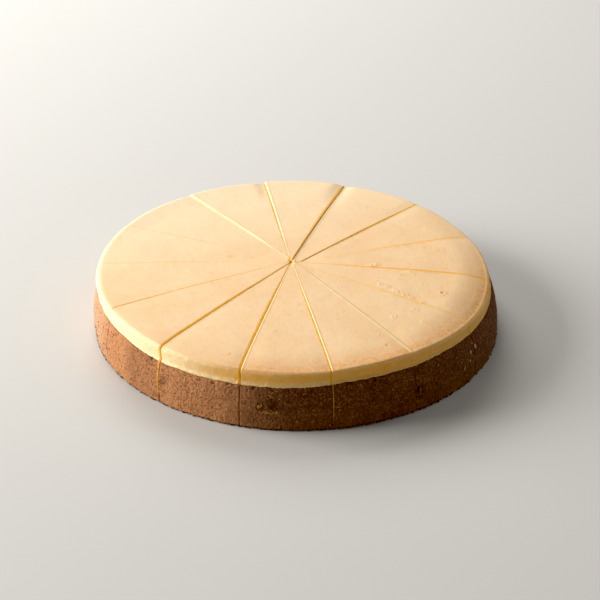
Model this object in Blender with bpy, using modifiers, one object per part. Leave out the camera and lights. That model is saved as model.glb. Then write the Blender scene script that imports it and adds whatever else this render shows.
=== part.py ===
"""A baked cheesecake cut into fourteen slices that still stand together as one round cake.

Each slice is two pieces: the baked filling, and the crumb crust that lines its base and its side.
The crust is a cup pressed into a round tin, the filling is baked in the cup and rises over its rim.
Both are turned shapes. Their relief is moved in, crumbs are fused to the crust, and then the knife's
cuts part both into slices. The cake stands on z = 0, centred on the Z axis, with its front towards -Y.
"""

import math
import random

import bmesh
import bpy
from mathutils import Matrix, Vector, noise

NAME = "baked_cheesecake"
MM = 0.001

# Driving sizes in millimetres. The cake is baked in a ten inch tin.
WIDEST_RADIUS = 127.0
WIDEST_HEIGHT = 12.0
CRUST_LINE_RADIUS = 124.0
CRUST_LINE = 28.2
FOOT_ROUNDING = 2.2
CRUST_BASE = 6.0
CRUST_WALL = 4.6
CUP_TAPER = 1.6
FILLING_RADIUS = 122.9
BAND_INSET = 0.5
TOP_HEIGHT = 39.2
DOME = 0.8
FLAT_RADIUS = 105.0
LIP_RADIUS = 118.6
CLEARANCE = 0.35
LEAN = 2.9

# Round the rim, by azimuth in degrees: how high the crust reaches and how high the skin's lip lies.
RIM = (
    (-180, 29.2, 38.0), (-150, 28.8, 38.0), (-131, 27.2, 37.6), (-105, 27.0, 36.8), (-92, 27.0, 36.6),
    (-80, 28.3, 37.1), (-62, 28.9, 37.6), (-47, 28.9, 36.8), (-37, 28.4, 36.0), (-26, 28.0, 35.0),
    (-8, 28.0, 35.2), (20, 28.3, 36.8), (50, 28.5, 38.3), (90, 28.5, 38.5), (116, 28.5, 38.4),
    (143, 28.8, 38.8),
)

# The fourteen cuts, clockwise seen from above, from the one nearest the back. Each has its direction in
# degrees, the width of its gap, how far it passes beside the crossing, where it starts along its own line,
# and how far the rim sags beside it, before and after it. Lengths are in millimetres.
CROSSING = (-1.8, 2.1)
CUTS = (
    (97.6, 0.95, 0.8, -1.2, 1.5, 0.0),
    (70.5, 0.45, 0.6, -1.2, 1.3, 1.4),
    (45.5, 1.0, -3.6, 2.4, 0.6, 0.3),
    (18.6, 0.55, -1.6, -1.0, 0.3, 0.3),
    (-8.4, 0.75, 0.0, -1.2, 0.4, 0.3),
    (-34.1, 0.32, -0.5, -1.2, 0.3, 0.3),
    (-58.4, 0.36, 0.9, -1.2, 0.4, 0.4),
    (-81.5, 0.85, -0.3, -1.2, 0.4, 0.3),
    (-104.4, 1.25, 0.4, -1.2, 0.3, 0.4),
    (-128.7, 1.1, 0.1, -1.2, 0.4, 0.3),
    (-153.3, 0.7, -0.9, -1.2, 0.3, 0.2),
    (179.2, 0.5, -0.5, -1.2, 0.2, 0.2),
    (152.9, 0.32, -0.1, -1.2, 0.2, 0.2),
    (124.3, 0.42, -0.8, -1.2, 0.6, 0.0),
)
SLICE_RISE = (0.5, -0.3, -0.5, -0.2, 0.0, 0.0, 0.2, -0.2, -0.1, 0.1, 0.1, 0.0, -0.2, 0.1)
SAG_REACH = 5.5
SAG_STARTS, SAG_FULL = 75.0, 118.0
KNIFE_REACH = 140.0
KNIFE_BAR = 2.0
EDGE_CHAMFER = 0.75

# Relief, in millimetres, and its grain, in noise cells a metre.
STEPS = 140
SKIN_RELIEF, SKIN_GRAIN = 0.22, 45.0
LIP_GRAIN = 70.0
BAND_RELIEF, BAND_GRAIN = 0.35, 60.0
CRUST_RELIEF, CRUST_GRAIN_FINE, CRUST_GRAIN_COARSE = 0.55, 260.0, 90.0
RIM_RELIEF = 0.45
# Where the side is craggy: azimuth in degrees, height and width in millimetres.
CRAG_PLACES = ((-96.5, 14.0, 9.0), (-57.0, 22.0, 4.5), (-128.5, 17.0, 4.0))
CRAG_DEPTH = 1.1

FOOT_CRUMBS = 44
FOOT_CRUMB_SIZES = (0.8, 1.4)
WALL_CRUMBS = 22
WALL_CRUMB_SIZES = (0.9, 1.5)
WALL_CRUMB_HEIGHTS = (6.0, 22.0)
CRUMB_SEED = 14

CRUST_BROWN = (0.235, 0.105, 0.045, 1.0)
FILLING_CREAM = (0.86, 0.62, 0.32, 1.0)


def clear_scene():
    """Removes whatever the startup file holds."""
    for obj in list(bpy.data.objects):
        bpy.data.objects.remove(obj, do_unlink=True)


def new_collection(name):
    """A collection of its own in the scene."""
    collection = bpy.data.collections.new(name)
    bpy.context.scene.collection.children.link(collection)
    return collection


def new_material(name, colour, roughness):
    """A Principled material of one colour."""
    material = bpy.data.materials.new(name)
    material.use_nodes = True
    shader = material.node_tree.nodes["Principled BSDF"]
    shader.inputs["Base Color"].default_value = colour
    shader.inputs["Roughness"].default_value = roughness
    shader.inputs["Metallic"].default_value = 0.0
    return material


def ease(value, low, high):
    """0 below low, 1 above high, and smooth between them."""
    share = min(max((value - low) / (high - low), 0.0), 1.0)
    return share * share * (3.0 - 2.0 * share)


def level_at(azimuth, column):
    """One column of RIM at an azimuth in degrees, eased from each stated place to the next."""
    for index, row in enumerate(RIM):
        following = RIM[(index + 1) % len(RIM)]
        width = (following[0] - row[0]) % 360.0
        along = (azimuth - row[0]) % 360.0
        if along < width:
            return row[column] + (following[column] - row[column]) * ease(along, 0.0, width)
    return RIM[0][column]


def crust_line(azimuth):
    """How high the crust reaches at an azimuth, with the small unevenness of pressed crumbs."""
    around = math.radians(azimuth)
    place = Vector((math.cos(around), math.sin(around), 0.0))
    ragged = noise.noise(place * 24.0) + 0.6 * noise.noise(place * 9.0 + Vector((5.0, 0.0, 0.0)))
    return level_at(azimuth, 1) + RIM_RELIEF * ragged


def crust_section():
    """Radius and height down the crust's cup: floor, inner wall, crest, outside and base."""
    inner_foot = CRUST_LINE_RADIUS - CRUST_WALL - CUP_TAPER
    inner_top = CRUST_LINE_RADIUS - CRUST_WALL
    cup = [(0.0, CRUST_BASE), (inner_foot - 2.0, CRUST_BASE), (inner_foot, CRUST_BASE + 2.2)]
    crest = [(inner_top, CRUST_LINE - 0.9), (inner_top + 2.2, CRUST_LINE)]
    crest.append((CRUST_LINE_RADIUS, CRUST_LINE - 0.4))
    heights = (24.8, 20.6, 16.4, WIDEST_HEIGHT, 7.4, FOOT_ROUNDING)
    outside = [(outside_radius(height), height) for height in heights]
    knee = FOOT_ROUNDING * (1.0 - math.cos(math.radians(45)))
    foot = [(WIDEST_RADIUS - knee, knee), (WIDEST_RADIUS - FOOT_ROUNDING, 0.0)]
    return cup + crest + outside + foot + [(0.0, 0.0)]


def outside_radius(height):
    """The crust's outer radius at a height: straight up from the foot, then drawn in towards its rim."""
    share = max(0.0, (height - WIDEST_HEIGHT) / (CRUST_LINE - WIDEST_HEIGHT))
    return WIDEST_RADIUS - (WIDEST_RADIUS - CRUST_LINE_RADIUS) * share ** 1.6


def filling_section():
    """Radius and height down the filling: top, lip, the band above the crust, and its inside in the cup."""
    lip = level_at(-180.0, 2)
    shoulder = [(LIP_RADIUS + 2.3, lip - 0.5), (FILLING_RADIUS - 0.55, lip - 1.5)]
    shoulder.append((FILLING_RADIUS, lip - 2.9))
    flat = [(0.0, TOP_HEIGHT), (0.6 * FLAT_RADIUS, TOP_HEIGHT), (FLAT_RADIUS, TOP_HEIGHT)]
    top = flat + [(LIP_RADIUS - 5.0, lip), (LIP_RADIUS, lip)]
    band_foot = (CRUST_LINE_RADIUS - 0.4, CRUST_LINE - 0.4 + CLEARANCE)
    band = [(FILLING_RADIUS - BAND_INSET, 0.5 * (lip + CRUST_LINE)), band_foot]
    inner_top = CRUST_LINE_RADIUS - CRUST_WALL - CLEARANCE
    inner_foot = inner_top - CUP_TAPER
    seat = CRUST_BASE + CLEARANCE
    ledge = [(inner_top + 2.4, CRUST_LINE + CLEARANCE), (inner_top, CRUST_LINE - 0.9 + CLEARANCE)]
    cup = [(inner_foot, seat + 2.2), (inner_foot - 2.0, seat), (0.0, seat)]
    return top + shoulder + band + ledge + cup


def turned(name, section):
    """A closed solid with this section, turned once round the Z axis."""
    mesh = bpy.data.meshes.new(name)
    points = [(radius * MM, 0.0, height * MM) for radius, height in section]
    mesh.from_pydata(points, [(i, i + 1) for i in range(len(points) - 1)], [])
    obj = bpy.data.objects.new(name, mesh)
    bpy.context.scene.collection.objects.link(obj)
    screw = obj.modifiers.new("turn", "SCREW")
    screw.axis = "Z"
    screw.angle = math.tau
    screw.steps = STEPS
    screw.render_steps = STEPS
    screw.use_merge_vertices = True
    screw.merge_threshold = 0.00001
    bake_modifiers(obj)
    return obj


def bake_modifiers(obj):
    """Gives the object its evaluated mesh, in triangles that face out, and clears its modifiers."""
    graph = bpy.context.evaluated_depsgraph_get()
    made = bpy.data.meshes.new_from_object(obj.evaluated_get(graph))
    shaped = bmesh.new()
    shaped.from_mesh(made)
    bmesh.ops.remove_doubles(shaped, verts=shaped.verts, dist=0.000002)
    bmesh.ops.dissolve_degenerate(shaped, edges=shaped.edges, dist=0.000002)
    bmesh.ops.triangulate(shaped, faces=shaped.faces)
    bmesh.ops.recalc_face_normals(shaped, faces=shaped.faces)
    shaped.to_mesh(made)
    shaped.free()
    before = obj.data
    obj.modifiers.clear()
    obj.data = made
    bpy.data.meshes.remove(before)


def place_of(point):
    """Radius in millimetres, azimuth in degrees and height in millimetres of a point in metres."""
    return math.hypot(point.x, point.y) / MM, math.degrees(math.atan2(point.y, point.x)), point.z / MM


def moved_to(radius, azimuth, height):
    """The point in metres at a radius, azimuth and height. The cake leans: its top sits left of its base."""
    around = math.radians(azimuth)
    lean = LEAN * (0.5 - height / TOP_HEIGHT)
    return Vector((radius * math.cos(around) + lean, radius * math.sin(around), height)) * MM


def crag_at(azimuth, height):
    """How much of a crag there is at a place on the outside, from 0 to 1."""
    reach = 0.0
    for crag_azimuth, crag_height, width in CRAG_PLACES:
        sideways = math.radians(azimuth - crag_azimuth) * WIDEST_RADIUS
        distance = math.hypot(sideways, 1.6 * (height - crag_height)) / width
        reach = max(reach, 1.0 - distance)
    return reach


def weather_crust(obj):
    """Follows the uneven rim and roughens the outside of the crust's cup. Inside and base stay true."""
    for vertex in obj.data.vertices:
        radius, azimuth, height = place_of(vertex.co)
        rise = (crust_line(azimuth) - CRUST_LINE) * ease(height, CRUST_BASE, CRUST_LINE - 0.9)
        outside = radius > CRUST_LINE_RADIUS - 0.1 and height > 0.1
        if outside:
            fine = noise.noise(vertex.co * CRUST_GRAIN_FINE)
            rough = CRUST_RELIEF * (fine + 0.7 * noise.noise(vertex.co * CRUST_GRAIN_COARSE))
            crag = crag_at(azimuth, height)
            radius += rough * (1.0 + 1.2 * crag) - CRAG_DEPTH * crag
        vertex.co = moved_to(radius, azimuth, height + rise)


def weather_filling(obj):
    """Gives the filling its dome, the lip's own height round the rim and a soft, uneven skin."""
    lip_at_rest = level_at(-180.0, 2)
    for vertex in obj.data.vertices:
        radius, azimuth, height = place_of(vertex.co)
        lip = level_at(azimuth, 2)
        if height > lip_at_rest + 0.1:
            height -= DOME * (radius / FLAT_RADIUS) ** 2
            height += SKIN_RELIEF * noise.noise(vertex.co * SKIN_GRAIN)
        elif height > CRUST_LINE + 1.5:
            share = ease(height, CRUST_LINE, lip_at_rest)
            shoulder = ease(radius, LIP_RADIUS, FILLING_RADIUS)
            radius += shoulder * BAND_RELIEF * noise.noise(vertex.co * BAND_GRAIN)
            height += share * (lip - lip_at_rest) + SKIN_RELIEF * noise.noise(vertex.co * LIP_GRAIN)
            if radius < LIP_RADIUS - 1.0:
                height += 0.45 * (TOP_HEIGHT - DOME - lip)
        else:
            height += (crust_line(azimuth) - CRUST_LINE) * ease(height, CRUST_BASE, CRUST_LINE - 0.9)
        vertex.co = moved_to(radius, azimuth, height)


def add_crumb(name, collection, azimuth, radius, height, size, rng):
    """One crumb, an uneven pebble half sunk in the crust."""
    shaped = bmesh.new()
    bmesh.ops.create_icosphere(shaped, subdivisions=1, radius=size * MM)
    for vertex in shaped.verts:
        vertex.co *= rng.uniform(0.8, 1.2)
    angle = rng.uniform(0.0, math.tau)
    turn = Matrix.Rotation(angle, 4, Vector((rng.random(), rng.random(), 1.0)).normalized())
    shaped.transform(Matrix.Translation(moved_to(radius, azimuth, height)) @ turn)
    mesh = bpy.data.meshes.new(name)
    shaped.to_mesh(mesh)
    shaped.free()
    collection.objects.link(bpy.data.objects.new(name, mesh))


def fuse_crumbs(crust):
    """Scatters crumbs along the foot and over the side of the crust and joins them to it."""
    crumbs = new_collection("crumbs")
    rng = random.Random(CRUMB_SEED)
    for index in range(FOOT_CRUMBS):
        size = rng.uniform(*FOOT_CRUMB_SIZES)
        azimuth = 360.0 * (index + rng.random()) / FOOT_CRUMBS
        height = 1.25 * size + 0.1
        add_crumb(f"foot_crumb_{index:02d}", crumbs, azimuth, WIDEST_RADIUS - 0.6, height, size, rng)
    for index in range(WALL_CRUMBS):
        size = rng.uniform(*WALL_CRUMB_SIZES)
        azimuth = 360.0 * (index + rng.random()) / WALL_CRUMBS
        height = rng.uniform(*WALL_CRUMB_HEIGHTS)
        radius = outside_radius(height) - 0.5
        add_crumb(f"wall_crumb_{index:02d}", crumbs, azimuth, radius, height, size, rng)
    union = crust.modifiers.new("crumbs", "BOOLEAN")
    union.operation = "UNION"
    union.operand_type = "COLLECTION"
    union.collection = crumbs
    bake_modifiers(crust)
    for obj in list(crumbs.objects):
        bpy.data.objects.remove(obj, do_unlink=True)
    bpy.data.collections.remove(crumbs)


def add_bar(name, collection, lowest, highest, place):
    """A box between two corners in millimetres, set in place by a matrix, which only cuts."""
    size = Vector(highest) - Vector(lowest)
    middle = (Vector(highest) + Vector(lowest)) / 2.0
    shaped = bmesh.new()
    bmesh.ops.create_cube(shaped, size=1.0)
    shaped.transform(Matrix.Translation(middle) @ Matrix.Diagonal(size.to_4d()))
    shaped.transform(Matrix.Scale(MM, 4) @ place)
    mesh = bpy.data.meshes.new(name)
    shaped.to_mesh(mesh)
    shaped.free()
    bar = bpy.data.objects.new(name, mesh)
    bar.hide_render = True
    bar.display_type = "WIRE"
    collection.objects.link(bar)


def add_knives(collection):
    """For each cut a thin upright blade, and square bars on edge along its top that bevel its two edges."""
    quarter = Matrix.Rotation(math.radians(45), 4, "X")
    top = TOP_HEIGHT - 0.4 * DOME
    low, high = -5.0, TOP_HEIGHT + 20.0
    for number, (direction, gap, beside, start, _, _) in enumerate(CUTS, 1):
        half_gap = gap / 2.0
        turn = Matrix.Translation((*CROSSING, 0.0)) @ Matrix.Rotation(math.radians(direction), 4, "Z")
        aim = turn @ Matrix.Translation((0.0, beside, 0.0))
        far = (KNIFE_REACH, half_gap, high)
        add_bar(f"blade_{number:02d}", collection, (start, -half_gap, low), far, aim)
        lift = top - EDGE_CHAMFER - half_gap + KNIFE_BAR * math.sqrt(2.0)
        flat = aim @ Matrix.Translation((0.0, 0.0, lift)) @ quarter
        first = (start, -KNIFE_BAR, -KNIFE_BAR)
        add_bar(f"edge_{number:02d}", collection, first, (FLAT_RADIUS + 1.0, KNIFE_BAR, KNIFE_BAR), flat)
        slope = math.atan2(top - level_at(direction, 2), LIP_RADIUS - FLAT_RADIUS)
        tilt = Matrix.Rotation(slope, 4, "Y") @ quarter
        tilted = aim @ Matrix.Translation((FLAT_RADIUS, 0.0, lift)) @ tilt
        last = (KNIFE_REACH - FLAT_RADIUS, KNIFE_BAR, KNIFE_BAR)
        add_bar(f"rim_edge_{number:02d}", collection, (-1.0, -KNIFE_BAR, -KNIFE_BAR), last, tilted)


def cut_apart(whole, knives):
    """Cuts a whole turned piece with every knife and returns its slices, without the scraps."""
    cut = whole.modifiers.new("cuts", "BOOLEAN")
    cut.operation = "DIFFERENCE"
    cut.operand_type = "COLLECTION"
    cut.collection = knives
    bake_modifiers(whole)
    bpy.ops.object.select_all(action="DESELECT")
    whole.select_set(True)
    bpy.context.view_layer.objects.active = whole
    bpy.ops.mesh.separate(type="LOOSE")
    parts = sorted(bpy.context.selected_objects, key=lambda part: -volume_of(part))
    for scrap in parts[len(CUTS):]:
        bpy.data.objects.remove(scrap, do_unlink=True)
    return parts[:len(CUTS)]


def volume_of(obj):
    """The volume that an object's mesh encloses."""
    shaped = bmesh.new()
    shaped.from_mesh(obj.data)
    volume = shaped.calc_volume()
    shaped.free()
    return volume


def slice_index(obj):
    """Which slice a piece belongs to, from 0, by the azimuth of its middle seen from the crossing."""
    middle = sum((vertex.co for vertex in obj.data.vertices), Vector()) / len(obj.data.vertices) / MM
    azimuth = math.degrees(math.atan2(middle.y - CROSSING[1], middle.x - CROSSING[0]))
    clockwise = (CUTS[0][0] - azimuth) % 360.0
    starts = [(CUTS[0][0] - cut[0]) % 360.0 for cut in CUTS]
    return max(index for index, start in enumerate(starts) if start <= clockwise)


def sag_beside(point, cut, sag):
    """How far the rim sags at a point because of one of its slice's cuts."""
    direction = math.radians(cut[0])
    from_crossing = point.xy / MM - Vector(CROSSING)
    along = from_crossing.dot(Vector((math.cos(direction), math.sin(direction))))
    across = from_crossing.dot(Vector((-math.sin(direction), math.cos(direction)))) - cut[2]
    return sag * math.exp(-(across / SAG_REACH) ** 2) * ease(along, SAG_STARTS, SAG_FULL)


def settle_slice(obj, index):
    """Stands a slice a little higher or lower than its neighbours and sags its rim beside its cuts."""
    before, after = CUTS[index], CUTS[(index + 1) % len(CUTS)]
    for vertex in obj.data.vertices:
        share = ease(vertex.co.z / MM, CRUST_BASE, TOP_HEIGHT)
        sag = sag_beside(vertex.co, before, before[5]) + sag_beside(vertex.co, after, after[4])
        vertex.co.z += share * (SLICE_RISE[index] - sag) * MM


def make_slices(name, whole, knives, home, material):
    """Cuts one turned piece into its slices, and names, settles and colours each of them."""
    for part in cut_apart(whole, knives):
        index = slice_index(part)
        settle_slice(part, index)
        part.name = f"{name}_{index + 1:02d}"
        part.data.name = part.name
        part.data.materials.clear()
        part.data.materials.append(material)
        part.data.shade_smooth()
        part.data.set_sharp_from_angle(angle=math.radians(40))
        for collection in list(part.users_collection):
            collection.objects.unlink(part)
        home.objects.link(part)


def main():
    clear_scene()
    home = new_collection(NAME)
    knives = new_collection("knives")
    add_knives(knives)
    crust = turned("crust", crust_section())
    weather_crust(crust)
    fuse_crumbs(crust)
    filling = turned("filling", filling_section())
    weather_filling(filling)
    make_slices("crust", crust, knives, home, new_material("crumb_crust", CRUST_BROWN, 0.85))
    make_slices("filling", filling, knives, home, new_material("baked_filling", FILLING_CREAM, 0.5))


main()
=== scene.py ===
# %% [markdown]
# # A baked cheesecake in fourteen slices
#
# This lesson dresses a plain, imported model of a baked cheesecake. The model gives every slice as two solids,
# the filling and the crumb crust, at their real size. Here each slice is modelled again with its skin, its
# knife edges, its crumbs and its colours, in the same place. We work in millimetres and turn them into
# metres at the last moment, because a baker's sizes read better that way.

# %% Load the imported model
import math
import random
from collections import namedtuple

import bpy
import numpy as np
from mathutils import Matrix, Vector, noise


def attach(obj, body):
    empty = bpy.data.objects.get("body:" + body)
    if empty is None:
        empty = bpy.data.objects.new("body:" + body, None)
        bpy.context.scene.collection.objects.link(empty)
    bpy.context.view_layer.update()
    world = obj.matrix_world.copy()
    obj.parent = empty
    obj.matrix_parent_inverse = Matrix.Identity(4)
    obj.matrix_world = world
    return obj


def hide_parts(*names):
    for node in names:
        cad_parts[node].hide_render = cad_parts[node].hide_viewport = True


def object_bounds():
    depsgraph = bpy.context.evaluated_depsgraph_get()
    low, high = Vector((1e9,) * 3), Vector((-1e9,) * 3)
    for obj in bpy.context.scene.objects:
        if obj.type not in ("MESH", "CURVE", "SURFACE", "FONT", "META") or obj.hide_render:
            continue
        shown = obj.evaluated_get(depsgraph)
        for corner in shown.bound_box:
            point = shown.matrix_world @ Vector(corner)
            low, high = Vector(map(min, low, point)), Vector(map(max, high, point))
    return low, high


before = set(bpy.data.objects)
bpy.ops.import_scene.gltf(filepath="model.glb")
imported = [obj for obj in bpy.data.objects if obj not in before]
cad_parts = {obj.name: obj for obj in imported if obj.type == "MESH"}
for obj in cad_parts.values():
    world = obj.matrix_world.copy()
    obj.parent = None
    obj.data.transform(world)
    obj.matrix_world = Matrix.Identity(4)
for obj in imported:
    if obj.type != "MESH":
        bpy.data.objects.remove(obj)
solid_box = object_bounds()
MM = 0.001
print("packed nodes:", len(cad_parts))
print("packed box, mm:", [round(size / MM, 1) for size in solid_box[1] - solid_box[0]])

# %% [markdown]
# ## Shared sizes
#
# The solids were turned and cut from a few sizes. We repeat them, so that what we model lies where the
# solids lie. The rim is uneven: the crust reaches higher on the left than in front, and the filling has
# sunk towards the right. One row says it for one place round the cake.

# %% The cake's sizes, in millimetres and degrees
WIDEST_RADIUS = 127.0
WIDEST_HEIGHT = 12.0
CRUST_LINE_RADIUS = 124.0
CRUST_LINE = 28.2
CRUST_BASE = 6.0
CRUST_WALL = 4.6
CUP_TAPER = 1.6
FILLING_RADIUS = 122.9
BAND_INSET = 0.5
TOP_HEIGHT = 39.2
DOME = 0.8
FLAT_RADIUS = 105.0
CLEARANCE = 0.35
LEAN = 2.9

# Azimuth, how high the crust reaches, how high the skin's lip lies, and how wide and deep its shoulder is.
RIM = (
    (-180, 29.2, 38.0, 5.0, 3.6), (-150, 28.8, 38.0, 5.0, 3.4), (-131, 27.2, 37.6, 4.2, 2.8),
    (-105, 27.0, 36.8, 2.6, 1.8), (-92, 27.0, 36.6, 2.2, 1.5), (-80, 28.3, 37.1, 2.0, 1.4),
    (-62, 28.9, 37.6, 1.8, 1.4), (-47, 28.9, 36.8, 2.0, 1.6), (-37, 28.4, 36.0, 2.2, 1.8),
    (-26, 28.0, 35.0, 2.4, 2.0), (-8, 28.0, 35.2, 2.6, 2.0), (20, 28.3, 36.8, 3.0, 2.2),
    (50, 28.5, 38.3, 3.2, 2.4), (90, 28.5, 38.5, 3.6, 2.6), (116, 28.5, 38.4, 4.0, 2.8),
    (143, 28.8, 38.8, 4.6, 3.2),
)
CRUST_TOP, LIP, SHOULDER_WIDTH, SHOULDER_DEPTH = 1, 2, 3, 4


def ease(value, low, high):
    """0 below low, 1 above high, and smooth between them."""
    share = np.clip((value - low) / (high - low), 0.0, 1.0)
    return share * share * (3.0 - 2.0 * share)


def level_at(azimuth, column):
    """One column of RIM at azimuths in degrees, eased from each stated place to the next."""
    starts = np.array([row[0] for row in RIM] + [RIM[0][0] + 360.0])
    values = np.array([row[column] for row in RIM] + [RIM[0][column]])
    around = (azimuth + 180.0) % 360.0 - 180.0
    index = np.clip(np.searchsorted(starts, around, side="right") - 1, 0, len(RIM) - 1)
    share = ease(around, starts[index], starts[index + 1])
    return values[index] + (values[index + 1] - values[index]) * share


def grain(points, cells):
    """Smooth noise from -1 to 1 at points in metres, with that many cells a metre."""
    return np.array([noise.noise(Vector(point) * cells) for point in points])


CRUST_LINE_STEPS = np.linspace(0.0, 360.0, 7201)
RING_TURNS = np.radians(CRUST_LINE_STEPS)
SHIFT = np.array((5.0 / 9.0, 0.0, 0.0))
ring = np.column_stack((np.cos(RING_TURNS), np.sin(RING_TURNS), np.zeros_like(RING_TURNS)))
wavy = grain(ring, 24.0) + 0.6 * grain(ring + SHIFT, 9.0)
crumbly = 0.34 * grain(ring, 120.0) + 0.40 * grain(ring, 430.0)
CRUST_LINE_LEVELS = level_at(CRUST_LINE_STEPS, CRUST_TOP) + 0.45 * wavy + crumbly
print("crust line, mm:", round(CRUST_LINE_LEVELS.min(), 1), "to", round(CRUST_LINE_LEVELS.max(), 1))

# %% [markdown]
# ## The camera
#
# The camera stands in front of the cake and looks down at it by thirty degrees, from a little to the left.
# A long lens keeps the round top an even ellipse. The place and the three angles were found by fitting the
# cake's outlines and cuts.

# %% Place the camera
CAMERA_PLACE = Vector((-25.26, -824.24, 487.76)) * MM
CAMERA_PITCH, CAMERA_YAW, CAMERA_ROLL = 0.52274, 0.03489, 0.00852

forward = Vector((
    math.sin(CAMERA_YAW) * math.cos(CAMERA_PITCH),
    math.cos(CAMERA_YAW) * math.cos(CAMERA_PITCH),
    -math.sin(CAMERA_PITCH),
))
level_right = forward.cross(Vector((0.0, 0.0, 1.0))).normalized()
level_up = level_right.cross(forward)
right = level_right * math.cos(CAMERA_ROLL) + level_up * math.sin(CAMERA_ROLL)
up = level_up * math.cos(CAMERA_ROLL) - level_right * math.sin(CAMERA_ROLL)

bpy.ops.object.camera_add()
camera = bpy.context.object
camera.name = "camera"
camera.matrix_world = Matrix.Translation(CAMERA_PLACE) @ Matrix((right, up, -forward)).transposed().to_4x4()
camera.data.lens = 90.0
camera.data.sensor_width = 36.0
bpy.context.scene.camera = camera
print("camera looks down by", round(math.degrees(CAMERA_PITCH), 1), "degrees")

# %% [markdown]
# ## Light and floor
#
# A cake is best lit like a still life by a window. One large soft light stands to the left and a little
# behind, so the left of the crust is bright and the front falls into warm shade. A second light high behind
# the cake brightens the back of its top. A weak one on the right lifts the far rim out of the dark, as a
# white card would, and a pale world fills the rest. The floor is plain, pale and quite matt. The picture is
# shown with a slightly raised black level, which deepens the browns as a photographer's contrast does.

# %% Make the floor, the lights and the world
def plain_material(name, colour, roughness):
    """A material of one colour for what is not part of the cake."""
    material = bpy.data.materials.new(name)
    material.use_nodes = True
    shader = material.node_tree.nodes["Principled BSDF"]
    shader.inputs["Base Color"].default_value = (*colour, 1.0)
    shader.inputs["Roughness"].default_value = roughness
    shader.inputs["Specular IOR Level"].default_value = 0.0
    return material


def soft_light(name, place, size, power, colour):
    """A square area light at a place in metres that faces the cake."""
    bpy.ops.object.light_add(type="AREA", location=place)
    light = bpy.context.object
    light.name = name
    light.data.size = size
    light.data.energy = power
    light.data.color = colour
    light.rotation_euler = (Vector((0.0, 0.0, 0.02)) - light.location).to_track_quat("-Z", "Y").to_euler()
    return light


bpy.ops.mesh.primitive_plane_add(size=6.0)
floor = bpy.context.object
floor.name = "floor"
floor.data.materials.append(plain_material("pale_floor", (0.64, 0.63, 0.605), 1.0))

window = soft_light("window", (-1.775, 0.187, 0.67), 1.2, 62.0, (1.0, 0.985, 0.96))
overhead = soft_light("overhead", (-0.35, 1.35, 1.15), 1.1, 20.0, (1.0, 0.99, 0.97))
reflector = soft_light("reflector", (1.0, 0.36, 1.06), 1.0, 2.8, (1.0, 0.98, 0.95))

world = bpy.data.worlds.new("pale_world")
world.use_nodes = True
world.node_tree.nodes["Background"].inputs["Color"].default_value = (1.0, 0.96, 0.89, 1.0)
world.node_tree.nodes["Background"].inputs["Strength"].default_value = 0.14
bpy.context.scene.world = world

BLACK_LEVEL = 0.009
view = bpy.context.scene.view_settings
view.view_transform = "Standard"
view.use_curve_mapping = True
view.curve_mapping.black_level = (BLACK_LEVEL, BLACK_LEVEL, BLACK_LEVEL)
view.curve_mapping.update()
print("lights, watts:", [light.data.energy for light in (window, overhead, reflector)])

# %% [markdown]
# ## Writing shader sums
#
# A finish is a net of nodes. Wiring it by hand is slow to read, so one small class wraps a socket and lets
# us write sums on it with the usual signs. Every other kind of node comes from its one method `node`.

# %% A socket that can be used in sums
class Wire:
    """One output of a node, or the start of a material's net when it has no socket yet."""

    def __init__(self, tree, socket=None):
        self.tree = tree
        self.socket = socket

    def node(self, kind, settings=None, inputs=None, output=0):
        """Adds a node of a kind, sets it up, feeds its inputs and returns one of its outputs."""
        made = self.tree.nodes.new(kind)
        for name, value in (settings or {}).items():
            setattr(made, name, value)
        for name, value in (inputs or {}).items():
            if isinstance(value, Wire):
                self.tree.links.new(value.socket, made.inputs[name])
            else:
                made.inputs[name].default_value = value
        return Wire(self.tree, made.outputs[output])

    def math(self, operation, *values):
        return self.node("ShaderNodeMath", {"operation": operation}, dict(enumerate(values)))

    def __add__(self, other):
        return self.math("ADD", self, other)

    def __sub__(self, other):
        return self.math("SUBTRACT", self, other)

    def __mul__(self, other):
        return self.math("MULTIPLY", self, other)

    def __rsub__(self, other):
        return self.math("SUBTRACT", other, self)

    __radd__ = __add__
    __rmul__ = __mul__

    def eased(self, low, high):
        """0 below low, 1 above high, and smooth between them."""
        span = {"Value": self, "From Min": low, "From Max": high}
        return self.node("ShaderNodeMapRange", {"interpolation_type": "SMOOTHSTEP"}, span)

    def noise(self, place, cells, detail=3.0, roughness=0.55):
        """Cloudy noise at a place, with that many cells a metre."""
        inputs = {"Vector": place, "Scale": cells, "Detail": detail, "Roughness": roughness}
        return self.node("ShaderNodeTexNoise", None, inputs)

    def mixed(self, factor, first, second):
        """A colour between two colours."""
        inputs = {0: factor, 6: first, 7: second}
        return self.node("ShaderNodeMix", {"data_type": "RGBA"}, inputs, 2)

    def painted(self, name):
        """The value that the mesh keeps at each vertex under this name."""
        return self.node("ShaderNodeAttribute", {"attribute_name": name}, None, 2)


def new_finish(name, roughness, specular):
    """A material with its Principled shader, and the start of its net."""
    material = bpy.data.materials.new(name)
    material.use_nodes = True
    shader = material.node_tree.nodes["Principled BSDF"]
    shader.inputs["Roughness"].default_value = roughness
    shader.inputs["Specular IOR Level"].default_value = specular
    return material, shader, Wire(material.node_tree)


def feed(shader, name, wire):
    """Links a wire to one of the shader's inputs."""
    wire.tree.links.new(wire.socket, shader.inputs[name])


def rgb(red, green, blue):
    """A colour in linear light."""
    return (red, green, blue, 1.0)


print("shader helpers ready")
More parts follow.
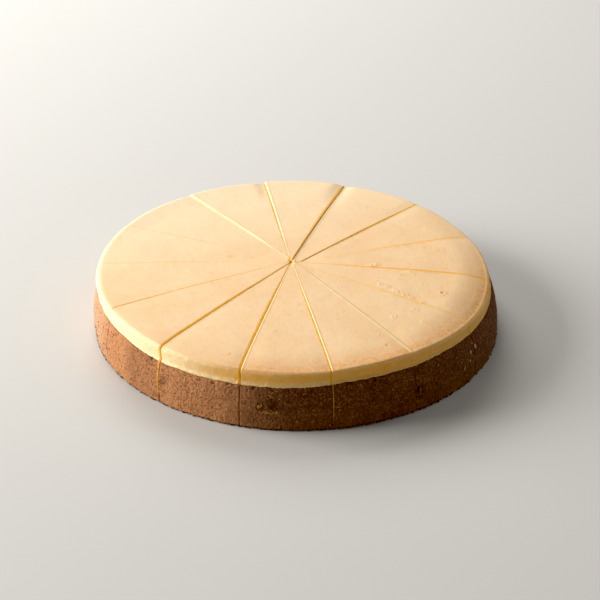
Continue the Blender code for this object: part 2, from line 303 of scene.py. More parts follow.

# %% [markdown]
# ## The finish of the filling
#
# Baked cheesecake has a satin, peach coloured skin where the oven touched it and a paler, creamier inside.
# The mesh carries how much skin, browning, painted warm shade and painted groove shade there is at each
# vertex, and the finish mixes its colours by them. The top is painted paler towards the back, a painted sheen.
# Light sinks a few millimetres into it, as into butter, which softens its edges.

# %% The filling's finish
SKIN_PEACH = rgb(0.87, 0.58, 0.31)
SKIN_PALE = rgb(0.90, 0.635, 0.365)
SKIN_TAN = rgb(0.84, 0.50, 0.22)
# SKIN_SHEEN is a painted sheen on the top's back.
SKIN_SHEEN = rgb(0.885, 0.68, 0.43)
BROWNED = rgb(0.76, 0.35, 0.09)
CREAM = rgb(0.92, 0.70, 0.36)
CREAM_PALE = rgb(0.96, 0.81, 0.52)
# SHADE_AMBER is painted warm shade: the shaded front and right of the band, with the glow of light soaking
# through.
SHADE_AMBER = rgb(0.98, 0.46, 0.05)
# GROOVE_SHADE is painted shade in the grooves, with the glow of light soaking through the filling.
GROOVE_SHADE = rgb(0.98, 0.44, 0.015)


def filling_finish():
    material, shader, start = new_finish("baked_filling", 0.6, 0.3)
    shader.inputs["Subsurface Weight"].default_value = 0.4
    shader.inputs["Subsurface Radius"].default_value = (1.0, 0.7, 0.4)
    shader.inputs["Subsurface Scale"].default_value = 0.0014
    place = start.node("ShaderNodeTexCoord", None, None, "Object")

    clouds = start.noise(place, 30.0, 4.0, 0.6)
    mottle = start.noise(place, 230.0, 4.0, 0.6)
    freckles = start.noise(place, 900.0, 2.0)
    skin = start.mixed(clouds.eased(0.38, 0.64) * 0.7, SKIN_PEACH, SKIN_PALE)
    skin = start.mixed(mottle.eased(0.50, 0.74) * 0.4, skin, SKIN_TAN)
    skin = start.mixed(freckles.eased(0.60, 0.74) * 0.3, skin, SKIN_PALE)

    # Painted sheen: the top is painted paler towards the back and the left, where the lights glance off it.
    sideways = start.node("ShaderNodeSeparateXYZ", None, {0: place}, 0)
    backwards = start.node("ShaderNodeSeparateXYZ", None, {0: place}, 1)
    sheen_towards_back = backwards - 0.4 * sideways
    skin = start.mixed(sheen_towards_back.eased(0.0, 0.11) * 0.8, skin, SKIN_SHEEN)

    browned = start.painted("browned")
    blotches = start.noise(place, 520.0, 5.0, 0.65).eased(0.44, 0.60)
    skin = start.mixed(browned * (0.5 + 0.5 * blotches), skin, BROWNED)

    crumbly = start.noise(place, 620.0, 5.0, 0.75)
    cream = start.mixed(crumbly.eased(0.40, 0.62), CREAM, CREAM_PALE)
    streaks = start.node("ShaderNodeMapping", None, {"Vector": place, "Scale": (1.0, 1.0, 3.0)})
    shade = start.noise(streaks, 110.0, 5.0, 0.7).eased(0.34, 0.66)
    # Painted warm shade, mixed into the cream on the shaded front and right.
    warm_shade = start.painted("warm_shade")
    cream = start.mixed(warm_shade * (0.82 + 0.18 * shade) * (1.0 - 0.25 * crumbly.eased(0.5, 0.68)), cream, SHADE_AMBER)

    cover = start.painted("skin") + 0.3 * (start.noise(place, 420.0, 4.0) - 0.5)
    colour = start.mixed(cover.eased(0.32, 0.62), cream, skin)
    # Painted shade in the grooves and at the torn tips.
    colour = start.mixed(start.painted("groove"), colour, GROOVE_SHADE)
    feed(shader, "Base Color", colour)

    pores = start.noise(place, 1500.0, 3.0, 0.65)
    peel = start.noise(place, 420.0, 3.0, 0.5)
    bare = 1.0 - start.painted("skin")
    relief = peel * 0.6 + pores * (0.35 + 0.9 * bare) + crumbly * bare
    bump = start.node("ShaderNodeBump", None, {"Strength": 0.45, "Distance": 0.0004, "Height": relief})
    feed(shader, "Normal", bump)
    feed(shader, "Roughness", 0.54 + 0.2 * mottle)
    return material


filling_material = filling_finish()
print(filling_material.name, "has", len(filling_material.node_tree.nodes), "nodes")

# %% [markdown]
# ## The finish of the crust
#
# Pressed biscuit crumb is thousands of grains, golden to nearly black, held by butter. A cell pattern gives
# each grain its own tone, and painted shade darkens the pits between them, by the relief that the mesh
# carries. It is matt. On the left, which faces the window, the crust is painted paler and sandier as
# painted light and sheen, and the mesh says how much.

# %% The crust's finish
CRUST_GOLD = rgb(0.44, 0.205, 0.08)
CRUST_BROWN = rgb(0.168, 0.060, 0.025)
CRUST_RED = rgb(0.144, 0.045, 0.020)
CRUST_DARK = rgb(0.055, 0.020, 0.008)
# CRUST_LIT and CRUST_LIT_SHEEN are painted light and sheen on the side that faces the window.
CRUST_LIT = rgb(0.68, 0.305, 0.125)
CRUST_WARM = rgb(0.36, 0.135, 0.040)
CRUST_LIT_SHEEN = rgb(0.66, 0.43, 0.26)
CRUST_SMEAR = rgb(0.88, 0.43, 0.09)


def crust_finish():
    material, shader, start = new_finish("crumb_crust", 0.85, 0.2)
    shader.inputs["Sheen Weight"].default_value = 0.1
    shader.inputs["Sheen Roughness"].default_value = 0.4
    shader.inputs["Sheen Tint"].default_value = rgb(1.0, 0.86, 0.72)
    place = start.node("ShaderNodeTexCoord", None, None, "Object")
    wobble = start.node("ShaderNodeTexNoise", None, {"Vector": place, "Scale": 1200.0}, 1)
    nudge = {0: wobble, 1: (0.0006, 0.0006, 0.0006), 2: place}
    shaken = start.node("ShaderNodeVectorMath", {"operation": "MULTIPLY_ADD"}, nudge)
    grains = start.node("ShaderNodeTexVoronoi", None, {"Vector": shaken, "Scale": 1350.0}, 1)
    tone = start.node("ShaderNodeSeparateColor", None, {0: grains}, 0)

    patches = start.noise(place, 70.0, 5.0, 0.65)
    colour = start.mixed(patches.eased(0.36, 0.64), CRUST_RED, CRUST_BROWN)
    low = start.node("ShaderNodeSeparateXYZ", None, {0: place}, 2)
    streaky = start.noise(place, 38.0, 3.0, 0.6).eased(0.45, 0.62)
    colour = start.mixed((1.0 - low.eased(0.0, 0.016)) * (0.25 + 0.35 * streaky), colour, CRUST_WARM)
    dust = start.noise(place, 2300.0, 4.0, 0.7)
    colour = start.mixed(dust.eased(0.55, 0.78) * 0.4, colour, CRUST_GOLD)
    # Painted light and sheen: the side that faces the window is painted paler.
    painted_light = start.painted("painted_light")
    speckle = 0.55 + 0.45 * dust.eased(0.42, 0.62)
    colour = start.mixed(painted_light.eased(0.12, 0.40) * speckle, colour, CRUST_LIT)
    colour = start.mixed(painted_light.eased(0.55, 0.95) * speckle * 0.85, colour, CRUST_LIT_SHEEN)
    flecks = start.noise(place, 520.0, 3.0, 0.6).eased(0.62, 0.72)
    colour = start.mixed(flecks * 0.45, colour, CRUST_GOLD)
    colour = start.mixed(tone.eased(0.62, 1.0) * 0.55, colour, CRUST_GOLD)
    colour = start.mixed((1.0 - tone).eased(0.74, 1.0) * 0.6, colour, CRUST_DARK)
    # Painted shade in the pits, the crags and the undercut under the foot.
    colour = start.mixed(start.painted("pit_shade").eased(0.2, 1.0) * 0.8, colour, CRUST_DARK)
    colour = start.mixed(start.painted("smear"), colour, CRUST_SMEAR)
    feed(shader, "Base Color", colour)

    height = tone * 0.4 + dust
    bump = start.node("ShaderNodeBump", None, {"Strength": 0.5, "Distance": 0.0006, "Height": height})
    feed(shader, "Normal", bump)
    return material


crust_material = crust_finish()
print(crust_material.name, "has", len(crust_material.node_tree.nodes), "nodes")

# %% [markdown]
# ## The cuts
#
# A long knife passed fourteen times from the middle to the rim, and no two cuts are alike: some gape,
# others have closed to a faint line. The cuts repeat where the solids were cut. The seams say how each cut
# looks on its two sides, "before" being the side anticlockwise of it: how wide its groove is and how much
# painted shade gilds it, how wide a pale strip the torn skin leaves beside it, and how far its edge rolls
# over. The gold in a groove is painted shade, with the glow of light that soaks through the filling, and it
# is painted on the wall that faces away from the window, while one that faces it looks pale.

# %% Where the cuts lie and how they look
CROSSING = np.array((-1.8, 2.1))
Cut = namedtuple("Cut", ("direction", "beside", "start", "sag_before", "sag_after"))
CUTS = tuple(Cut(*row) for row in (
    (97.1, 0.8, -1.2, 1.5, 0.0),
    (70.5, 0.6, -1.2, 1.3, 1.4),
    (45.5, -3.6, 2.4, 0.6, 0.3),
    (18.6, -1.6, -1.0, 0.3, 0.3),
    (-8.4, 0.0, -1.2, 0.4, 0.3),
    (-34.1, -0.5, -1.2, 0.3, 0.3),
    (-58.4, 0.9, -1.2, 0.4, 0.4),
    (-81.0, -0.2, -1.2, 0.4, 0.3),
    (-104.5, -0.5, -1.2, 0.3, 0.4),
    (-128.7, 0.1, -1.2, 0.4, 0.3),
    (-153.3, -0.9, -1.2, 0.3, 0.2),
    (179.2, -0.5, -1.2, 0.2, 0.2),
    (152.9, -0.1, -1.2, 0.2, 0.2),
    (124.3, -0.8, -1.2, 0.6, 0.0),
))
# A seam's gold is painted shade, put on the wall that faces away from the window.
Seam = namedtuple("Seam", (
    "groove_before", "groove_after", "depth", "gold_before", "gold_after",
    "pale_before", "pale_after", "roll_before", "roll_after", "roll_depth",
))
SEAMS = tuple(Seam(*row) for row in (
    (1.05, 0.40, 0.22, 1.0, 0.0, 0.0, 1.3, 0.5, 1.2, 0.20),
    (1.70, 0.40, 0.12, 0.85, 0.0, 0.0, 1.4, 0.8, 1.2, 0.12),
    (1.15, 0.55, 0.10, 1.0, 0.3, 0.0, 0.4, 0.6, 0.6, 0.08),
    (1.15, 0.60, 0.16, 1.0, 0.5, 0.0, 0.5, 0.5, 0.8, 0.08),
    (1.15, 0.85, 0.18, 1.0, 0.9, 0.0, 0.2, 0.4, 0.5, 0.08),
    (0.60, 0.45, 0.09, 0.7, 0.4, 0.0, 0.2, 0.4, 0.4, 0.06),
    (0.25, 0.25, 0.0, 0.0, 0.0, 0.85, 0.75, 0.1, 0.1, 0.0),
    (0.40, 1.00, 0.20, 0.0, 1.0, 0.75, 0.0, 0.4, 0.3, 0.06),
    (0.40, 1.70, 0.32, 0.0, 1.0, 0.85, 0.0, 0.4, 0.3, 0.08),
    (0.45, 1.65, 0.26, 0.5, 1.0, 0.40, 0.0, 0.4, 0.3, 0.08),
    (0.45, 0.60, 0.10, 0.50, 0.60, 0.0, 0.0, 0.4, 0.4, 0.06),
    (0.55, 0.55, 0.05, 0.35, 0.35, 0.0, 0.0, 0.3, 0.3, 0.04),
    (0.45, 0.45, 0.03, 0.25, 0.25, 0.0, 0.0, 0.3, 0.3, 0.03),
    (0.30, 0.30, 0.03, 0.0, 0.0, 1.3, 1.5, 1.4, 1.5, 0.18),
))
SLICE_RISE = (0.4, -0.2, -0.5, -0.2, 0.0, 0.0, 0.2, -0.2, -0.1, 0.1, 0.1, 0.0, -0.2, 0.1)
SAG_REACH = 5.5
SAG_STARTS, SAG_FULL = 75.0, 118.0
TIP_GAP = 0.03
TIP_SHORTEST = 0.25
CENTRE_RADIUS = 18.0
LONGEST_TIP = 60.0
SLICES = len(CUTS)
first_width = CUTS[0].direction - CUTS[1].direction
print("cuts:", SLICES, "and the first slice is", round(first_width, 1), "degrees wide")


# %% Where a slice's tip lies
def along(cut):
    """The unit direction of a cut in plan."""
    turn = math.radians(cut.direction)
    return np.array((math.cos(turn), math.sin(turn)))


def across(cut):
    """The unit direction square to a cut, towards the slice before it."""
    forwards = along(cut)
    return np.array((-forwards[1], forwards[0]))


def apex_of(index):
    """Where the two cut faces of a slice would meet in a point."""
    before, after = CUTS[index], CUTS[(index + 1) % SLICES]
    first = CROSSING + across(before) * (before.beside - TIP_GAP / 2.0)
    second = CROSSING + across(after) * (after.beside + TIP_GAP / 2.0)
    steps = np.linalg.solve(np.column_stack((along(before), -along(after))), second - first)
    return first + steps[0] * along(before)


def nearest_reach(index, apex, aims):
    """How far from its apex a slice starts in each direction, past every cut that runs across its tip."""
    reach = np.full(len(aims), TIP_SHORTEST)
    for number, cut in enumerate(CUTS):
        if number in (index, (index + 1) % SLICES):
            continue
        slope = aims @ across(cut)
        slope = np.where(np.abs(slope) < 1e-6, 1e-6, slope)
        for side in (-1.0, 1.0):
            met = (cut.beside + side * TIP_GAP / 2.0 - (apex - CROSSING) @ across(cut)) / slope
            place = (apex + met[:, None] * aims - CROSSING) @ along(cut)
            runs_across = (met > 0.0) & (place >= cut.start) & (place < LONGEST_TIP)
            reach = np.where(runs_across, np.maximum(reach, met), reach)
    return reach


print("tip of the first slice, mm:", np.round(apex_of(0), 2))

# %% [markdown]
# ## A blank slice
#
# A slice of cake is its cross section, swept round the middle. We start a circle with as many vertices as
# the section needs, filled with one face, push its vertices onto the section, and spin the face. The same
# blank serves all fourteen slices: each gets its own copy, which is then fitted between its own two cuts.

# %% Spin a blank
BLANK_TURN = 24.0


def deselect_all():
    """Leaves nothing selected, in object mode."""
    if bpy.context.object and bpy.context.object.mode != "OBJECT":
        bpy.ops.object.mode_set(mode="OBJECT")
    bpy.ops.object.select_all(action="DESELECT")


def blank_slice(name, outline, columns):
    """A closed wedge spun from a section outline of radius and height in millimetres."""
    deselect_all()
    bpy.ops.mesh.primitive_circle_add(vertices=len(outline), radius=1.0, fill_type="NGON")
    blank = bpy.context.object
    blank.name = name
    for vertex, (radius, height) in zip(blank.data.vertices, outline):
        vertex.co = (radius * MM, 0.0, height * MM)
    bpy.ops.object.mode_set(mode="EDIT")
    bpy.ops.mesh.select_all(action="SELECT")
    bpy.ops.mesh.spin(steps=columns, angle=math.radians(BLANK_TURN), center=(0, 0, 0), axis=(0, 0, 1))
    bpy.ops.mesh.select_all(action="SELECT")
    bpy.ops.mesh.normals_make_consistent(inside=False)
    bpy.ops.object.mode_set(mode="OBJECT")
    return blank


def points_of(mesh):
    """The mesh's vertices as an array, in metres."""
    flat = np.empty(len(mesh.vertices) * 3)
    mesh.vertices.foreach_get("co", flat)
    return flat.reshape(-1, 3)


def rows_and_columns(blank, outline, columns):
    """Which outline point and which step of the spin each vertex of a blank came from."""
    place = points_of(blank.data) / MM
    turn = np.degrees(np.arctan2(place[:, 1], place[:, 0]))
    column = np.rint(np.abs(turn) / BLANK_TURN * columns).astype(int)
    profile = np.column_stack((np.hypot(place[:, 0], place[:, 1]), place[:, 2]))
    section = np.array(outline)
    row = np.array([np.argmin(((section - point) ** 2).sum(1)) for point in profile])
    return row, column


print("a blank turns by", BLANK_TURN, "degrees")

# %% [markdown]
# ## Fitting a blank between its cuts
#
# The blank's columns were evenly spaced. In the cake they crowd at both cut faces, where the groove and the
# rolled edge need them, and spread out between. A real knife goes down upright, while this cake leans a
# little, so the rings' middle moves with the height and the two cuts stay where they are. Each column is
# therefore placed by its distance from the cut face, a few times over until radius and place agree.

# %% Columns beside the cuts
GROOVE_STEPS = (0.0, 0.28, 0.55, 0.8, 1.0)
EDGE_STEPS = (0.3, 0.75, 1.4, 2.4)
WIDEST_EDGE = 0.3
FITTING_ROUNDS = 3


def edge_distances(groove):
    """How far the columns beside a cut lie from its face: some in the groove, some just outside it."""
    return np.array([groove * step for step in GROOVE_STEPS] + [groove + step for step in EDGE_STEPS])


def distance_from_face(index, width, column, columns):
    """How far a column lies from its slice's first cut face: close together at both faces, then even."""
    first = edge_distances(SEAMS[index].groove_after)
    last = edge_distances(SEAMS[(index + 1) % SLICES].groove_before)
    count = len(first) - 1
    first_shrink = np.minimum(1.0, WIDEST_EDGE * width / first[-1])
    last_shrink = np.minimum(1.0, WIDEST_EDGE * width / last[-1])
    near = first[np.minimum(column, count)] * first_shrink
    sheen_towards_back = width - last[np.minimum(columns - column, count)] * last_shrink
    inner, outer = first[-1] * first_shrink, width - last[-1] * last_shrink
    middle = inner + (outer - inner) * (column - count) / (columns - 2.0 * count)
    return np.where(column <= count, near, np.where(column >= columns - count, sheen_towards_back, middle))


print("edge columns beside each cut:", len(GROOVE_STEPS) + len(EDGE_STEPS))


# %% Places in plan
def lean_at(height):
    """How far to the right the cake's middle lies at a height. Its top sits to the left of its base."""
    return LEAN * (0.5 - height / TOP_HEIGHT)


def plan_places(index, section_of, column, columns):
    """Places for a slice's vertices, and how far each lies from its two cut faces and from its tip.

    section_of gives each vertex's radius and height from its azimuth."""
    before, after = CUTS[index], CUTS[(index + 1) % SLICES]
    apex = apex_of(index)
    first, last = math.radians(before.direction), math.radians(after.direction)
    span = (first - last) % math.tau
    angle = first - span * column / columns
    azimuth = np.degrees(angle)
    for _ in range(FITTING_ROUNDS):
        aims = np.column_stack((np.cos(angle), np.sin(angle)))
        near = nearest_reach(index, apex, aims)
        radius, height = section_of(azimuth)
        middle = np.column_stack((lean_at(height), np.zeros_like(height)))
        towards = (aims * (apex - middle)).sum(1)
        away = ((apex - middle) ** 2).sum(1)
        ring = np.maximum(radius, CENTRE_RADIUS)
        reach = -towards + np.sqrt(towards ** 2 - away + ring ** 2)
        reach = np.where(radius < CENTRE_RADIUS, near + (reach - near) * radius / CENTRE_RADIUS, reach)
        width = reach * span
        distance = distance_from_face(index, width, column, columns)
        angle = first - distance / reach
        place = apex + reach[:, None] * np.column_stack((np.cos(angle), np.sin(angle)))
        azimuth = np.degrees(np.arctan2(place[:, 1], place[:, 0] - middle[:, 0]))
    return place, azimuth, distance, width - distance, reach - near


print("the middle at the top, mm:", round(lean_at(TOP_HEIGHT), 2), "and at the base:", round(lean_at(0.0), 2))


# %% Settling, edges and copies
def sag_beside(place, cut, sag):
    """How far the rim sags because of one of the slice's cuts."""
    from_crossing = place - CROSSING
    out = from_crossing @ along(cut)
    off = from_crossing @ across(cut) - cut.beside
    return sag * np.exp(-(off / SAG_REACH) ** 2) * ease(out, SAG_STARTS, SAG_FULL)


def settled(height, place, index):
    """The height once the slice stands a little higher or lower than its neighbours and sags at its cuts."""
    before, after = CUTS[index], CUTS[(index + 1) % SLICES]
    sag = sag_beside(place, before, before.sag_after) + sag_beside(place, after, after.sag_before)
    return height + ease(height, CRUST_BASE, TOP_HEIGHT) * (SLICE_RISE[index] - sag)


def in_metres(place, height):
    """Points in metres from places in plan and heights."""
    return np.column_stack((place, height)) * MM


def outwards(place, height):
    """The unit direction in plan away from the cake's middle."""
    away = place - np.column_stack((lean_at(height), np.zeros_like(height)))
    return away / np.maximum(np.linalg.norm(away, axis=1), 1.0)[:, None]


def crust_line(azimuth):
    """How high the crust reaches at azimuths, with the small unevenness of pressed crumbs."""
    return np.interp(azimuth % 360.0, CRUST_LINE_STEPS, CRUST_LINE_LEVELS)


def rolled(distance, roll):
    """How far an edge has rolled down at a distance from its cut face: a quarter ellipse, 0 to 1."""
    share = 1.0 - np.clip(distance / np.maximum(roll, 0.01), 0.0, 1.0)
    return 1.0 - np.sqrt(1.0 - share ** 2)


def new_piece(blank, name, points, values, material):
    """A copy of a blank with its own mesh, its points in place, its painted values and its material."""
    piece = blank.copy()
    piece.data = blank.data.copy()
    piece.name = name
    piece.data.name = name
    bpy.context.scene.collection.objects.link(piece)
    piece.data.vertices.foreach_set("co", points.ravel())
    for key, value in values.items():
        layer = piece.data.attributes.new(key, "FLOAT", "POINT")
        layer.data.foreach_set("value", value.astype(np.float32))
    piece.data.materials.append(material)
    piece.data.update()
    return piece


print("rim sags at the first cut, mm:", CUTS[0].sag_before, "before it and", CUTS[0].sag_after, "after it")

# %% [markdown]
# ## The filling of each slice
#
# The section runs over the domed top, round the shoulder, down the band that shows above the crust, in over
# the crust's crest and down inside the cup. Near the middle the rows follow the slice's own tip. The skin
# carries a few burst bubbles, pinholes and browned spots, which are pushed in where the photo shows them.

# %% Rows of the filling's section
LEFT_INSET = 1.3
LIP_INSET_SHARE, WAIST_INSET_SHARE = 0.3, 0.4
FALL_FROM, FALL_POWER = 103.0, 1.7
BEHIND_CRUST, ON_CRUST = 0.4, 0.1
TOP_ROWS, SHOULDER_ROWS, BAND_ROWS = 190, 12, 18
FILLING_COLUMNS = 84
FILLING_ROWS = (
    [("top", share) for share in np.linspace(0.0, 1.0, TOP_ROWS)]
    + [("shoulder", share) for share in np.linspace(0.0, 1.0, SHOULDER_ROWS + 1)[1:]]
    + [("band", share) for share in np.linspace(0.0, 1.0, BAND_ROWS + 1)[1:]]
    + [("ledge", share) for share in (0.35, 1.0)]
    + [("cup", share) for share in (0.3, 1.0)]
    + [("seat", 0.0), ("seat", 1.0)]
)
SEAT_RADIUS = CRUST_LINE_RADIUS - CRUST_WALL - CLEARANCE - CUP_TAPER - 2.0


def dome_at(radius):
    return TOP_HEIGHT - DOME * (radius / FLAT_RADIUS) ** 2


def drawn_in(azimuth):
    """How far the left side is drawn in at the crust line."""
    return LEFT_INSET * (1.0 - ease(np.abs((azimuth % 360.0) - 180.0), 22.0, 62.0))


def filling_zone(zone, share, azimuth):
    """Radius and height of one zone of the filling's section at azimuths."""
    lip = level_at(azimuth, LIP)
    wide, deep = level_at(azimuth, SHOULDER_WIDTH), level_at(azimuth, SHOULDER_DEPTH)
    crest = crust_line(azimuth)
    inset = drawn_in(azimuth)
    foot_radius = CRUST_LINE_RADIUS - BEHIND_CRUST - inset
    inner = CRUST_LINE_RADIUS - CRUST_WALL - CLEARANCE - inset
    if zone == "top":
        skin_edge = FILLING_RADIUS - wide
        radius = share * skin_edge
        outer_share = np.clip((radius - FALL_FROM) / (skin_edge - FALL_FROM), 0.0, 1.0)
        return radius, dome_at(radius) - (dome_at(skin_edge) - lip) * outer_share ** FALL_POWER
    if zone == "shoulder":
        turn = share * math.pi / 2.0
        radius = FILLING_RADIUS - LIP_INSET_SHARE * inset * share - wide * (1.0 - np.sin(turn))
        return radius, lip - deep * (1.0 - np.cos(turn))
    if zone == "band":
        start = FILLING_RADIUS - LIP_INSET_SHARE * inset
        waist = WAIST_INSET_SHARE * inset
        radius = start + (foot_radius + waist - start) * ease(share, 0.72, 1.0)
        radius -= waist * ease(share, 0.5, 1.0)
        hollow = LIP_INSET_SHARE * inset + BAND_INSET * (1.0 - ease(inset, 0.0, 1.0))
        radius -= hollow * np.sin(math.pi * share) * share
        top = lip - deep
        return radius, top + (crest + ON_CRUST - top) * share
    if zone == "ledge":
        return foot_radius + (inner - foot_radius) * share, crest + ON_CRUST - share
    if zone == "cup":
        top = crest - 0.9
        return inner - CUP_TAPER * share, top + (CRUST_BASE + CLEARANCE + 2.2 - top) * share
    return SEAT_RADIUS * (1.0 - share), np.full_like(azimuth, CRUST_BASE + CLEARANCE)


def section_outline(rows, zone_of, smallest):
    """The section at the cake's left, as radius and height of each row. The axis itself is kept clear."""
    outline = []
    for zone, share in rows:
        radius, height = zone_of(zone, share, np.array([180.0]))
        outline.append((float(radius[0] if np.ndim(radius) else radius) + smallest, float(height[0])))
    return outline


def by_rows(rows, row, zone_of, azimuth):
    """Radius and height of every vertex, zone by zone."""
    radius, height = np.zeros(len(row)), np.zeros(len(row))
    shares = np.array([share for _, share in rows])[row]
    zones = np.array([zone for zone, _ in rows])[row]
    for zone in dict.fromkeys(zone for zone, _ in rows):
        here = zones == zone
        found = zone_of(zone, shares[here], azimuth[here])
        radius[here], height[here] = found
    return radius, height, zones, shares


filling_outline = section_outline(FILLING_ROWS, filling_zone, 1.0)
filling_blank = blank_slice("filling_blank", filling_outline, FILLING_COLUMNS)
filling_row, filling_column = rows_and_columns(filling_blank, filling_outline, FILLING_COLUMNS)
print("filling blank, vertices:", len(filling_blank.data.vertices))

# %% [markdown]
# ## Bubbles, pinholes and browned spots
#
# Each mark on the skin is one row: its place on the top, its width, how far it stands up or sinks in, and
# how much it has browned. A burst bubble is a small crater with a rim, a pinhole only sinks.

# %% Marks on the skin
# x, y, width, height of the rim, depth of the middle, browning.
MARKS = (
    (88.6, -38.0, 1.8, 0.35, 0.55, 0.45), (70.5, -57.1, 1.3, 0.30, 0.25, 0.25),
    (73.5, -71.4, 1.0, 0.30, 0.20, 0.20), (56.6, -65.8, 1.4, 0.30, 0.10, 0.10),
    (87.9, -79.0, 1.2, 0.25, 0.30, 0.30), (50.3, -97.2, 1.3, 0.0, 0.35, 0.80),
    (49.0, -3.2, 1.5, 0.35, 0.20, 0.25), (51.7, -1.3, 1.3, 0.35, 0.00, 0.15),
    (51.9, -27.3, 1.3, 0.30, 0.10, 0.30), (56.0, -29.8, 1.2, 0.30, 0.15, 0.40),
    (59.9, -34.9, 1.3, 0.30, 0.00, 0.10), (62.7, -37.4, 1.5, 0.35, 0.10, 0.25),
    (66.0, -40.2, 1.6, 0.35, 0.10, 0.20), (69.0, -43.7, 1.3, 0.30, 0.05, 0.20),
    (75.7, -48.8, 1.2, 0.25, 0.05, 0.20), (92.6, 16.7, 3.2, 0.10, 0.00, 0.38),
    (84.5, 20.9, 2.4, 0.08, 0.00, 0.28), (-39.1, -104.2, 0.9, 0.0, 0.35, 0.75),
    (-12.8, -81.2, 0.9, 0.0, 0.15, 0.45), (-81.6, -78.8, 5.5, 0.0, 0.00, 0.22),
    (-41.9, -20.2, 1.6, 0.0, 0.10, 0.35), (66.1, -15.7, 1.6, 0.12, 0.10, 0.35),
    (72.6, -12.0, 1.7, 0.12, 0.10, 0.35), (81.9, -12.2, 1.5, 0.12, 0.10, 0.35),
    (86.2, -13.5, 1.4, 0.10, 0.05, 0.25), (78.0, -27.0, 1.6, 0.15, 0.10, 0.25),
    (64.0, -22.0, 1.4, 0.15, 0.05, 0.25), (-39.8, 9.5, 2.2, 0.0, 0.10, 0.35),
    (-26.5, 8.0, 1.6, 0.0, 0.05, 0.30), (8.0, -112.0, 1.4, 0.1, 0.1, 0.30),
)
# Where the tips have torn at the crossing: x, y, half width, half length, depth, gold (painted shade), pale.
TIP_MARKS = (
    (-2.6, 3.6, 0.75, 5.0, 0.45, 1.0, 0.0), (1.9, 1.4, 1.7, 1.3, 0.25, 0.85, 0.0),
    (0.2, -0.8, 1.1, 1.6, -0.1, 0.0, 1.0), (-0.4, 4.6, 1.0, 2.6, -0.1, 0.0, 0.9),
)
SCATTERED_MARKS = 120
SCATTER_RADIUS = 112.0
MARK_SEED = 7


def scattered_marks():
    """Small faint pinholes and pimples all over the skin, more of them on the right."""
    rng = random.Random(MARK_SEED)
    found = []
    while len(found) < SCATTERED_MARKS:
        radius = SCATTER_RADIUS * math.sqrt(rng.random())
        around = rng.uniform(-math.pi, math.pi)
        x, y = radius * math.cos(around), radius * math.sin(around)
        if rng.random() > 0.35 + 0.65 * float(ease(x, -70.0, 60.0)):
            continue
        width = rng.uniform(0.7, 1.3)
        found.append((x, y, width, rng.uniform(0.0, 0.12), rng.uniform(0.0, 0.16), rng.uniform(0.0, 0.3)))
    return found


ALL_MARKS = MARKS + tuple(scattered_marks())


def marked(place):
    """How far the skin stands up and how browned it is at places in plan, because of its marks."""
    lift, browned = np.zeros(len(place)), np.zeros(len(place))
    for x, y, width, rim, depth, tint in ALL_MARKS:
        gap = np.hypot(place[:, 0] - x, place[:, 1] - y) / width
        lift += 0.8 * rim * np.exp(-((gap - 0.9) / 0.45) ** 2) - depth * np.exp(-(gap / 0.65) ** 2)
        browned = np.maximum(browned, tint * np.exp(-(gap / 1.1) ** 2))
    return lift, browned


def torn_tips(place):
    """How deep the tips are at the crossing, how much painted shade gilds them and how pale they are."""
    deep, gold, pale = np.zeros(len(place)), np.zeros(len(place)), np.zeros(len(place))
    for x, y, half_width, half_length, depth, golden, bare in TIP_MARKS:
        off = ((place[:, 0] - x) / half_width) ** 2 + ((place[:, 1] - y) / half_length) ** 2
        near = np.exp(-off ** 1.5)
        deep += depth * near
        gold = np.maximum(gold, golden * near)
        pale = np.maximum(pale, bare * near)
    return deep, gold, pale


print("marks on the skin:", len(ALL_MARKS))

# %% [markdown]
# ## What shows where on the filling
# A cake browns unevenly, and the skin is browner along the front rim. The band is creamy on the left and
# golden in front and on the right, where that gold is painted warm shade with the glow of light soaking
# through the filling. The skin has worn off the shoulder, which leaves a pale line, and from the front round
# to the right that line is a painted highlight along the rim as well. Each look fades in and out between
# stated azimuths. The values are kept at the vertices, because they follow the rim and the cuts, which no
# simple pattern in space would do.

# %% Stretches round the cake
# Azimuths between which a look fades in, and between which it fades out again.
# Between these azimuths the band, shoulder and bare strips get painted warm shade.
SHADED_BAND = (-134.0, -100.0, 0.0, 50.0)
BROWN_RIM = (-122.0, -94.0, -15.0, 25.0)
# RIM_HIGHLIGHT: from the front round to the right, a pale line on the shoulder is a painted highlight.
RIM_HIGHLIGHT = (-106.0, -78.0, -26.0, -12.0)
STRIP_WARM_SHADE, SHOULDER_WARM_SHADE = 0.3, 0.75


def fades(azimuth, stretch):
    """1 inside a stretch round the cake, 0 outside it, and smooth at both its ends."""
    return ease(azimuth, stretch[0], stretch[1]) * (1.0 - ease(azimuth, stretch[2], stretch[3]))


def warm_shade_on_band(azimuth, share):
    """Where on the band the painted warm shade lies: under a pale lip, and in front above a pale speckled
    ledge.
    """
    ledge = ease(azimuth, -140.0, -125.0) * (1.0 - 0.6 * ease(azimuth, -86.0, -78.0))
    return (0.75 + 0.25 * ease(share, 0.0, 0.25)) * (1.0 - 0.5 * ledge * ease(share, 0.55, 0.85))


def rim_browning(azimuth, radius):
    """How much the skin has browned along the rim, from the front round to the right."""
    return fades(azimuth, BROWN_RIM) * (0.40 * ease(radius, 104.0, 116.0) + 0.45 * ease(radius, 115.0, 119.0))


print("gold on the band, in front and on the left:", fades(-90.0, SHADED_BAND), fades(-170.0, SHADED_BAND))

# %% What the cuts do to a slice
NARROWEST, NARROW_FROM, NARROW_TO = 0.38, 4.0, 70.0
FAINTEST_GROOVE, GROOVE_POWER = 0.3, 1.2
SHUT_DEPTH, OPEN_DEPTH = 0.1, 0.2
Side = namedtuple("Side", ("distance", "groove", "depth", "gold", "pale", "roll", "roll_depth"))


